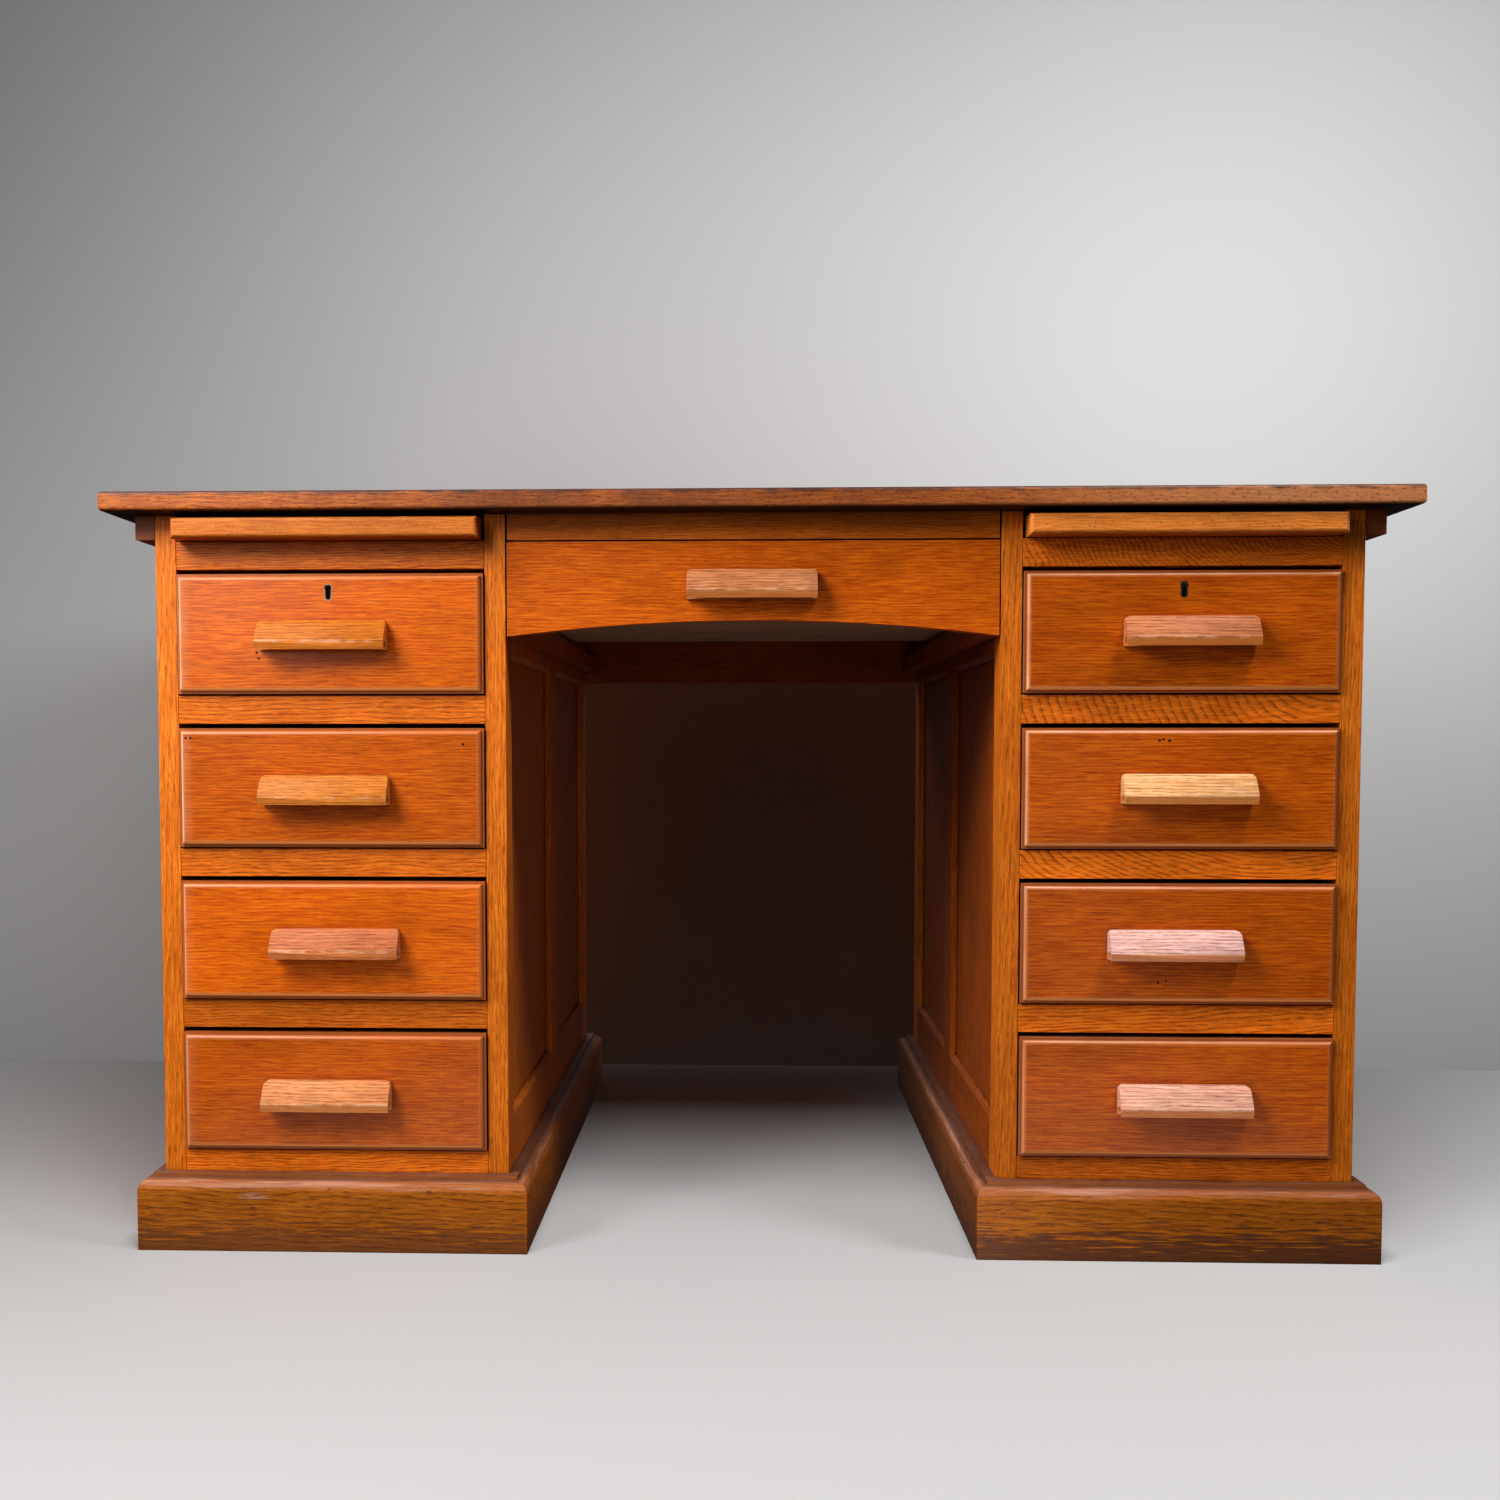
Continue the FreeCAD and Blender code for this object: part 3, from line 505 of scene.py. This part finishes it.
def knocked_edge(tree, here):
    """Wear of the lipping: faded right end, browned middle, flecks, inked upper arris and bare underside with
    painted shade.
    """
    axes = add(tree, SPLIT, {0: here})
    away = add(tree, MATH, {0: axes["X"], 1: SLEEVE_MIDDLE}, operation="SUBTRACT")[0]
    away = add(tree, MATH, {0: away}, operation="ABSOLUTE")[0]
    faded = add(tree, RANGE, {0: axes["X"], 1: FADED_BAND[0], 2: FADED_BAND[1], 4: 0.4})[0]
    leaned_on = add(tree, RANGE, {0: away, 1: SLEEVE_BAND[0], 2: SLEEVE_BAND[1]})[0]
    browned = patches(tree, here, (45, 45, 30), 3, (0.35, 0.65), (0.3, 0.72), 4.0)
    flecks = patches(tree, here, (5, 5, 1.8), 9, (0.56, 0.66), (0.0, 0.5), 1.0)
    ragged = patches(tree, here, (25, 25, 6), 14, (0.3, 0.7), INK_LINE, 3.0)
    above = add(tree, MATH, {0: axes["Z"], 1: ragged}, operation="SUBTRACT")[0]
    room = room_in(tree, here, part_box("top_lipping"))
    inset = add(tree, MATH, {0: room["X"], 1: room["Y"]}, operation="MINIMUM")[0]
    inked = add(tree, RANGE, {0: above, 1: -1.5, 2: 2.0, 4: 0.8})[0]
    near_edge = add(tree, RANGE, {0: inset, 1: INK_BAND[0], 2: INK_BAND[1], 3: 0.15})[0]
    return [(FADED, faded), (SLEEVE, browned, leaned_on), (INK, flecks),
            (INK, inked, near_edge)] + bare_and_shaded_underside(tree, here)


dress_in_oak("top_panel", "x", TOP, 80, ring=6.0, heart=(60.0, 0.0), wear=bare_and_shaded_underside)
dress_in_oak("top_lipping", "x", EDGE, 81, pores=0.7, turned=("y", side_boards), wear=knocked_edge)
dress_in_oak("top_cleats", "y", CLEAT, 82)
print("top panel, lipping and cleats finished")

# %% [markdown]
# ## Plinths
# Shoes and mops have worn the plinths. Their lower part is scuffed to a dark purple-brown in long ragged
# streaks, the ovolo on top is polished redder and streaked with painted highlights, dents and a pale scrape
# show here and there, and the kneehole sides are darkened with painted shade.

# %% Plinths
PLINTH = ("#C8701C", "#AC5812", "#542609")
PLINTH_SEEDS, TOWARD_KNEES = {"left": 94, "right": 95}, {"left": 1, "right": -1}
# The pale colour serves the real scrape and the painted highlight streaks on the ovolo.
SCUFF, MOULD, SCRAPE_AND_HIGHLIGHT = linear("#583426"), linear("#94583C"), linear("#D8B09C")
# Heights where the scuffed foot starts and is full, how far streaks shift them, and heights where the
# ovolo's redder brown starts and is full, in mm.
FOOT_BAND, STREAK_REACH, MOULD_BAND = (32.0, 22.0), (-24.0, 26.0), (64.0, 70.0)
# How much mops have darkened the foot of each plinth, and how much painted shade darkens its kneehole side.
MOPPED, KNEE_SIDE_SHADE = {"left": 0.6, "right": 0.85}, {"left": 0.1, "right": 0.65}
# A pale scrape on the left plinth: place and half size, in mm.
SCRAPE_AT, SCRAPE_SIZE = (-514, -410, 58), (24, 30, 6)


def mopped(side):
    """Marks and painted light of a plinth: scuffed foot, redder mould with painted highlight streaks, dusty
    ledge, dents, scrape and painted shade on the kneehole side.
    """
    def coats(tree, here):
        height = add(tree, SPLIT, {0: here})["Z"]
        facing = add(tree, SPLIT, {0: add(tree, "ShaderNodeNewGeometry", {})["Normal"]})
        streaks = patches(tree, here, (40, 40, 2.2), 21, (0.3, 0.7), STREAK_REACH, 5.0)
        level = add(tree, MATH, {0: height, 1: streaks}, operation="ADD")[0]
        foot = add(tree, RANGE, {0: level, 1: FOOT_BAND[0], 2: FOOT_BAND[1], 4: MOPPED[side]})[0]
        mould = add(tree, RANGE, {0: height, 1: MOULD_BAND[0], 2: MOULD_BAND[1], 4: 0.6})[0]
        # Painted highlight: pale streaks on the sloping ovolo.
        painted_sheen = patches(tree, here, (70, 70, 3), 27, (0.5, 0.62), (0.0, 0.28), 3.0)
        sloping = add(tree, RANGE, {0: facing["Z"], 1: 0.1, 2: 0.5})[0]
        ledge = add(tree, RANGE, {0: facing["Z"], 1: 0.9, 2: 1.0, 4: 0.75})[0]
        dents = patches(tree, here, (16, 16, 5), 33, (0.7, 0.76), (0.0, 0.8), 1.0)
        away = add(tree, VECTOR, {0: here, 1: SCRAPE_AT}, operation="SUBTRACT")[0]
        away = add(tree, VECTOR, {0: away, 1: SCRAPE_SIZE}, operation="DIVIDE")[0]
        away = add(tree, VECTOR, {0: away}, operation="LENGTH")["Value"]
        scraped = add(tree, RANGE, {0: away, 1: 1.0, 2: 0.4, 4: 0.7})[0]
        scratches = patches(tree, here, (9, 9, 2), 35, (0.38, 0.52), detail=3.0)
        # Painted shade on the side that faces the kneehole.
        inward = add(tree, MATH, {0: facing["X"], 1: TOWARD_KNEES[side]}, operation="MULTIPLY")[0]
        knee_shade = add(tree, RANGE, {0: inward, 1: 0.5, 2: 0.9, 4: KNEE_SIDE_SHADE[side]})[0]
        return [(SCUFF, foot), (MOULD, mould), (SCRAPE_AND_HIGHLIGHT, painted_sheen, sloping), (SCUFF, ledge),
                (SCUFF, dents), (SCRAPE_AND_HIGHLIGHT, scratches, scraped), (SCUFF, knee_shade)]
    return coats


for side in SIDES:
    dress_in_oak(side + "_plinth", "x", PLINTH, PLINTH_SEEDS[side], ring=4.0, lines=0.8, pores=0.7,
                 turned=("y", side_boards), wear=mopped(side))
print(len(SIDES), "plinths finished, their mould from", MOULD_BAND[0], "mm up")

# %% [markdown]
# ## Framed sides, back and insides
# Sides and back are frames round thin panels. The rails run level and the muntin between the panels is
# upright. Drawer boxes, stops and the pedestals' runners were never stained, so they stay the colour of
# bare wood.

# %% Sides and insides
CARCASS = ("#BC5A12", "#9A440A", "#552005")
SIDE_OAK = {"left": ("#DA7420", "#B85A12", "#682C08"), "right": ("#A84E0E", "#883A08", "#481A04")}
INSIDE = ("#D9B98A", "#BF9A68", "#8A6238")
SIDE_SEEDS, SEED_STEP = {"left": 104, "right": 105}, 1.7
MUNTIN_HALF, DRAWER_SIDE = 32.0, 11.0


def muntins(tree, here, box):
    """1 on the upright muntin in the middle of a side."""
    room = room_in(tree, here, box)
    edge = (box[1] - box[0]).y / 2 / MM - MUNTIN_HALF
    return add(tree, MATH, {0: room["Y"], 1: edge}, operation="GREATER_THAN")[0]


def drawer_sides(tree, here, box):
    """1 on the two sides of a drawer box."""
    room = room_in(tree, here, box)
    return add(tree, MATH, {0: room["X"], 1: DRAWER_SIDE}, operation="LESS_THAN")[0]


for side in SIDES:
    seed = SIDE_SEEDS[side]
    for part, grain, tones, turned in (("_side_frames", "y", SIDE_OAK[side], ("z", muntins)),
                                       ("_panels", "z", SIDE_OAK[side], None),
                                       ("_back_rails", "x", CARCASS, None),
                                       ("_runners", "y", INSIDE, None),
                                       ("_drawer_stops", "x", INSIDE, None)):
        seed += SEED_STEP
        dress_in_oak(side + part, grain, tones, seed, turned=turned)
    for row in ROWS:
        name = side + "_drawer_" + str(row) + "_box"
        dress_in_oak(name, "x", INSIDE, seed + row, turned=("y", drawer_sides))
dress_in_oak("back_apron", "x", CARCASS, 120)
dress_in_oak("centre_runners", "y", CARCASS, 121)
dress_in_oak("centre_drawer_box", "x", INSIDE, 122, turned=("y", drawer_sides))
print("frames, panels, runners and", len(SIDES) * len(ROWS) + 1, "drawer boxes finished")

# %% [markdown]
# ## Brass
# The key threads, lock cases and bolts are brass, which can be cast and filed smooth, and have dulled
# with age. One function makes both tones, a greyer one for the threads.

# %% Brass
TARNISH = (6, 6, 6)


def brass(name, bright, dull):
    """Tarnished brass: the eye sees a yellow gleam where it is rubbed, and matt brown patches."""
    material, tree = new_material(name)
    tarnished = patches(tree, in_mm(tree), TARNISH, 2, (0.4, 0.62), detail=3.0)
    metal = lay(tree, linear(bright), [(linear(dull), tarnished)])
    rough = add(tree, RANGE, {0: tarnished, 3: 0.32, 4: 0.5})[0]
    surface = add(tree, "ShaderNodeBsdfPrincipled", {
        "Base Color": metal, "Metallic": 1.0, "Roughness": rough})[0]
    add(tree, "ShaderNodeOutputMaterial", {"Surface": surface})
    return material


thread_brass = brass("key_thread_brass", "#A89C80", "#6A5E48")
lock_brass = brass("lock_brass", "#C9A45C", "#7A5A2C")
for side in SIDES:
    dress(side + "_escutcheon", thread_brass)
    dress(side + "_lock_case", lock_brass)
    dress(side + "_lock_bolt", lock_brass)
print(len(SIDES), "locks and key threads in brass")

# %% [markdown]
# ## Screws
# Two slotted screws, driven from inside the drawer, hold each pull, and four small ones hold each lock case.
# A head is a disc, rounded at the rim, with a saw slot cut across it. One is made of each size.

# %% Screw heads
# Radius of a pull screw and a lock screw, how far a head stands proud, and how far its rim is rounded, in mm.
PULL_SCREW, LOCK_SCREW, HEAD_PROUD, HEAD_RIM = 4.0, 2.6, 0.8, 0.45


def remove(piece):
    """Delete one object."""
    bpy.ops.object.select_all(action="DESELECT")
    piece.select_set(True)
    bpy.ops.object.delete()


def screw_head(radius):
    """A slotted head on the y axis, half sunk at the origin."""
    bpy.ops.object.select_all(action="DESELECT")
    bpy.ops.mesh.primitive_cylinder_add(vertices=32, radius=radius * MM, depth=2 * HEAD_PROUD * MM,
                                        rotation=(-math.pi / 2, 0, 0))
    bpy.ops.object.transform_apply(location=False, rotation=True, scale=False)
    head = bpy.context.object
    for part in (head.data.polygons, head.data.edges, head.data.vertices):
        part.foreach_set("select", [False] * len(part))
    for edge in head.data.edges:
        edge.select = all(head.data.vertices[i].co.y > 0 for i in edge.vertices)
    bpy.ops.object.mode_set(mode="EDIT")
    bpy.ops.mesh.select_mode(type="EDGE")
    bpy.ops.mesh.bevel(offset=HEAD_RIM * MM, segments=3)
    bpy.ops.object.mode_set(mode="OBJECT")
    bpy.ops.mesh.primitive_cube_add(size=1, location=(0, HEAD_PROUD * MM, 0),
                                    scale=(2.4 * radius * MM, HEAD_PROUD * MM, radius / 4 * MM))
    saw = bpy.context.object
    slot = head.modifiers.new("saw slot", "BOOLEAN")
    slot.object = saw
    bpy.context.view_layer.objects.active = head
    bpy.ops.object.modifier_apply(modifier=slot.name)
    remove(saw)
    head.data.materials.append(lock_brass)
    return head


large, small = screw_head(PULL_SCREW), screw_head(LOCK_SCREW)
print("screw heads with", len(large.data.polygons), "and", len(small.data.polygons), "faces")

# %% [markdown]
# ## Driving the screws
# Screws end up with their slots at any angle. Each one is a copy of a head, turned by another amount and
# set where a drill would meet the wood: behind each end of a pull and in the corners of a lock case. It
# then moves with its drawer.

# %% Drive the screws
# How far a pull screw lies from the pull's middle, and a lock screw from the case's edges, in mm.
PULL_SCREW_X, LOCK_SCREW_INSET = 45.0, 6.0
# How much further each next slot has turned, in radians.
PULL_TURN, LOCK_TURN = 0.7, 0.9


def drive(head, name, place, turn, body):
    """Copy a screw head to a place, turned on its axis, and let it move with a body."""
    bpy.ops.object.select_all(action="DESELECT")
    head.select_set(True)
    bpy.context.view_layer.objects.active = head
    bpy.ops.object.duplicate()
    screw = bpy.context.object
    screw.name = name
    screw.location = place
    screw.rotation_euler = (0, turn, 0)
    bpy.ops.object.transform_apply(location=True, rotation=True, scale=False)
    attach(screw, body)
    screws.append(screw)


drawers = [side + "_drawer_" + str(row) for side in SIDES for row in ROWS] + ["centre_drawer"]
screws = []
for count, drawer in enumerate(drawers):
    low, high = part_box(drawer + "_pull")
    middle = (low + high) / 2
    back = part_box(drawer + "_front")[1].y
    for end in (-1, 1):
        name = drawer + "_screw_" + ("left" if end < 0 else "right")
        place = (middle.x + end * PULL_SCREW_X * MM, back, middle.z)
        drive(large, name, place, count * PULL_TURN + end, drawer)
for side in SIDES:
    low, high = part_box(side + "_lock_case")
    inset = LOCK_SCREW_INSET * MM
    corners = [(x, z) for x in (low.x + inset, high.x - inset) for z in (low.z + inset, high.z - inset)]
    for count, (x, z) in enumerate(corners):
        name = side + "_lock_screw_" + str(count + 1)
        drive(small, name, (x, high.y, z), count * LOCK_TURN, side + "_drawer_1")
remove(large)
remove(small)
print(len(screws), "screws,", len(drawers) * 2, "of them in pulls")

# %% [markdown]
# ## Softened arrises
# A maker takes the sharp corner off every edge with one pass of a plane, and years of use round it more.
# A live bevel does that on the carcass boards and pulls: first the shared corners are welded, then every
# edge that turns sharply is rounded by less than a millimetre.

# %% Arrises
BOARD_ARRIS, PULL_ARRIS = 0.8, 0.7


def soften(names, width):
    """Round the sharp edges of these nodes by a width in mm."""
    for name in names:
        weld = desk[name].modifiers.new("joined faces", "WELD")
        weld.merge_threshold = 0.01 * MM
        bevel = desk[name].modifiers.new("soft arris", "BEVEL")
        bevel.width = width * MM
        bevel.segments = 2
        bevel.limit_method = "ANGLE"
        bevel.angle_limit = math.radians(50)
        bevel.harden_normals = True
    print(len(names), "nodes softened by", width, "mm")


framing = ("_posts", "_front_rails", "_plinth", "_side_frames")
soften([side + part for side in SIDES for part in framing], BOARD_ARRIS)
soften([drawer + "_pull" for drawer in drawers], PULL_ARRIS)

# %% [markdown]
# ## Floor and wall
# The desk stands on a plain pale floor before a grey wall. Both are matt emulsion paint, which gives the
# eye an even tone with no shine. The wall can only be seen from the front, so that the back of the desk
# can be looked at too, and the world beyond is pale to the eye alone.

# %% Floor and wall
# Sizes of floor and wall, and how far the wall is behind the desk's middle, in metres.
FLOOR_SIZE, WALL_SIZE, WALL_Y = 6.0, 5.0, 0.514
PAINTS = {"floor": "#CDCDCD", "wall": "#B0B0B0"}
bpy.ops.object.select_all(action="DESELECT")
bpy.ops.mesh.primitive_plane_add(size=FLOOR_SIZE)
floor = bpy.context.object
floor.name = "floor"
bpy.ops.mesh.primitive_plane_add(size=WALL_SIZE, location=(0, WALL_Y, 0), rotation=(math.pi / 2, 0, 0))
wall = bpy.context.object
wall.name = "wall"
for piece in (floor, wall):
    material, tree = new_material(piece.name + "_paint")
    paint = add(tree, "ShaderNodeBsdfDiffuse", {"Color": linear(PAINTS[piece.name])})[0]
    if piece is wall:
        clear = add(tree, "ShaderNodeBsdfTransparent", {})[0]
        behind = add(tree, "ShaderNodeNewGeometry", {})["Backfacing"]
        paint = add(tree, "ShaderNodeMixShader", {0: behind, 1: paint, 2: clear})[0]
    add(tree, "ShaderNodeOutputMaterial", {"Surface": paint})
    piece.data.materials.append(material)
    piece.visible_diffuse = False
    piece.visible_glossy = False
wall.visible_shadow = False

world = bpy.data.worlds.new("studio")
bpy.context.scene.world = world
world.use_nodes = True
tree = world.node_tree
tree.nodes.clear()
fill = add(tree, "ShaderNodeBackground", {"Color": linear("#FFFFFF"), "Strength": 0.02})[0]
seen = add(tree, "ShaderNodeBackground", {"Color": linear("#BEBEBE"), "Strength": 1.0})[0]
camera_ray = add(tree, "ShaderNodeLightPath", {})["Is Camera Ray"]
both = add(tree, "ShaderNodeMixShader", {0: camera_ray, 1: fill, 2: seen})[0]
add(tree, "ShaderNodeOutputWorld", {"Surface": both})
print("floor", FLOOR_SIZE, "m and wall", WALL_SIZE, "m wide")

# %% [markdown]
# ## Light
# A soft box at the upper left does most of the work. A weak one in front opens the shadows, a low one at
# the left grazes the mouldings, one overhead lights the right fronts, and two more show the right end and
# the back. Four faint ones near the floor, before the drawers and in the kneehole, stand for light that a
# pale floor sends up. Floor and wall have lamps of their own, so that the desk throws no hard shadow on
# them. The one behind the desk is a narrow beam, so that the floor in the kneehole stays dark.

# %% Light
def lamp(name, place, target, size, power, lit, spread=180):
    """A square soft box aimed at a target, that lights these pieces: metres, watts and degrees."""
    data = bpy.data.lights.new(name, "AREA")
    data.size = size
    data.energy = power
    data.spread = math.radians(spread)
    made = bpy.data.objects.new(name, data)
    made.location = place
    made.rotation_euler = (Vector(target) - Vector(place)).to_track_quat("-Z", "Y").to_euler()
    made.visible_camera = False
    bpy.context.scene.collection.objects.link(made)
    lit_by = bpy.data.collections.new("lit by " + name)
    for piece in lit:
        lit_by.objects.link(piece)
    made.light_linking.receiver_collection = lit_by


pieces = list(desk.values()) + screws
fronts = [desk[drawer + part] for drawer in drawers for part in ("_front", "_pull")]
kneehole = [desk[side + part] for side in SIDES for part in ("_side_frames", "_panels", "_plinth")]
kneehole += [desk[name] for name in ("centre_drawer_box", "centre_runners", "back_apron")]
outside = [piece for piece in pieces if piece not in kneehole]
lamp("key", (-1.2, -1.25, 1.65), (-0.25, -0.37, 0.5), 0.9, 45, pieces)
lamp("window", (-2.3, -0.9, 0.95), (0, -0.37, 0.5), 0.5, 5, pieces)
lamp("front_left", (-1.5, -2.6, 1.15), (-0.3, -0.37, 0.5), 0.8, 6, pieces)
lamp("bounce", (0.1, -1.3, 0.05), (0.1, -0.37, 0.45), 1.2, 1, outside)
for side, x in (("left", -0.43), ("right", 0.43)):
    lamp("glow_" + side, (x, -0.75, 0.02), (x, -0.75, 1), 0.6, 0.7, fronts)
lamp("overhead", (0.85, -0.95, 2.3), (0.6, -0.5, 0), 0.4, 28, pieces)
lamp("back", (-0.6, 2.4, 2.2), (0, 0.37, 0.4), 1.2, 14, pieces)
lamp("right", (2.1, 0.25, 1.0), (0.66, 0, 0.4), 0.8, 9, pieces)
lamp("knee", (0.15, -0.75, 0.03), (-0.25, -0.1, 0.3), 0.4, 0.8, kneehole)
lamp("floor_top", (0.0, -1.42, 2.35), (0, -1.0, 0), 1.1, 45, [floor])
lamp("floor_left", (-1.6, -2.0, 1.1), (-0.75, -1.45, 0), 0.8, 11, [floor], 110)
lamp("floor_right", (2.0, -1.2, 1.1), (0.9, -0.4, 0), 0.8, 22, [floor])
lamp("floor_back", (0.0, 1.95, 1.3), (0, 1.95, 0), 1.6, 28, [floor], 60)
lamp("wall_left", (-1.35, -0.6, 0.35), (-1.1, 0.51, 0.3), 0.6, 6, [wall])
lamp("wall_right", (1.7, -1.7, 1.4), (1.1, 0.51, 0.9), 0.8, 29, [wall])
lamp("wall_glow", (0.75, -0.6, 1.2), (0.75, 0.51, 1.15), 0.5, 14, [wall])
lamp("wall_soft", (-0.3, -0.6, 1.15), (-0.3, 0.51, 1.15), 0.5, 6.5, [wall])
print(len(bpy.data.lights), "lamps")

# %% [markdown]
# ## Camera
# The camera stands in front of the kneehole, half a metre above the floor and so below the top. Its lens,
# place, tilt and turn were worked out from the desk's straight edges as they run in the picture, and the
# shift moves the frame without tipping the upright posts.

# %% Camera
camera = bpy.data.cameras.new("camera")
camera.lens = 35.08
camera.sensor_width = 36
camera.shift_x = 0.0356
camera.shift_y = 0.0451
viewpoint = bpy.data.objects.new("camera", camera)
viewpoint.location = (-0.0053, -1.8669, 0.5218)
viewpoint.rotation_euler = (math.radians(87.244), 0, math.radians(1.948))
bpy.context.scene.collection.objects.link(viewpoint)
bpy.context.scene.camera = viewpoint
bpy.context.scene.view_settings.view_transform = "Standard"
print("camera", round(-viewpoint.location.y, 2), "m in front and", round(viewpoint.location.z, 2), "m up")
